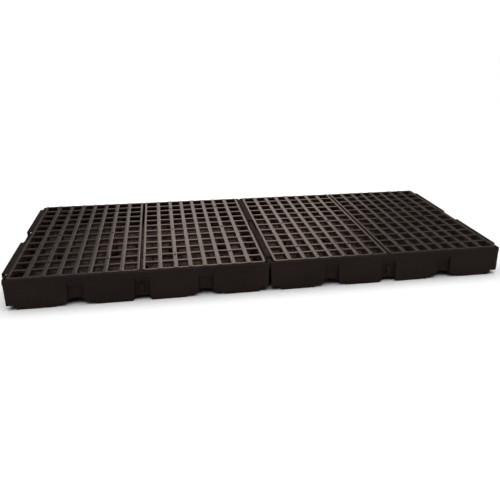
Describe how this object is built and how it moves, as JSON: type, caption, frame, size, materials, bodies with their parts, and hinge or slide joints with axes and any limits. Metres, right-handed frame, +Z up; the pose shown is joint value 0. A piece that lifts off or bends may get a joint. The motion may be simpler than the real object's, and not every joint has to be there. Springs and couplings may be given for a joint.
{
  "type": "spill containment pallet",
  "caption": "Low rectangular spill platform of square sump trays hooked end to end, each with lift-out open grates as a deck for drums.",
  "frame": {"origin": "on the floor under the middle of the platform", "axes": "+X along the row of trays, -Y towards the front, +Z up"},
  "size_m": [2.654, 1.33, 0.165],
  "materials": {
    "tray_plastic": "moulded, fine pebble grain, semi-matt",
    "grate_plastic": "moulded, fine pebble grain with a soft sheen on the rib tops"
  },
  "bodies": {
    "left_tray": {"left_sump_tray": "tray_plastic"},
    "right_tray": {"right_sump_tray": "tray_plastic"},
    "far_left_grate": {"grate_far_left": "grate_plastic"},
    "inner_left_grate": {"grate_inner_left": "grate_plastic"},
    "inner_right_grate": {"grate_inner_right": "grate_plastic"},
    "far_right_grate": {"grate_far_right": "grate_plastic"}
  },
  "joints": [
    {"name": "right_tray_unhook", "type": "slide", "parent": "left_tray", "child": "right_tray", "axis": [0, 0, 1], "range_m": [0, 0.25]},
    {"name": "far_left_grate_lift", "type": "slide", "parent": "left_tray", "child": "far_left_grate", "axis": [0, 0, 1], "range_m": [0, 0.2]},
    {"name": "inner_left_grate_lift", "type": "slide", "parent": "left_tray", "child": "inner_left_grate", "axis": [0, 0, 1], "range_m": [0, 0.2]},
    {"name": "inner_right_grate_lift", "type": "slide", "parent": "right_tray", "child": "inner_right_grate", "axis": [0, 0, 1], "range_m": [0, 0.2]},
    {"name": "far_right_grate_lift", "type": "slide", "parent": "right_tray", "child": "far_right_grate", "axis": [0, 0, 1], "range_m": [0, 0.2]}
  ]
}
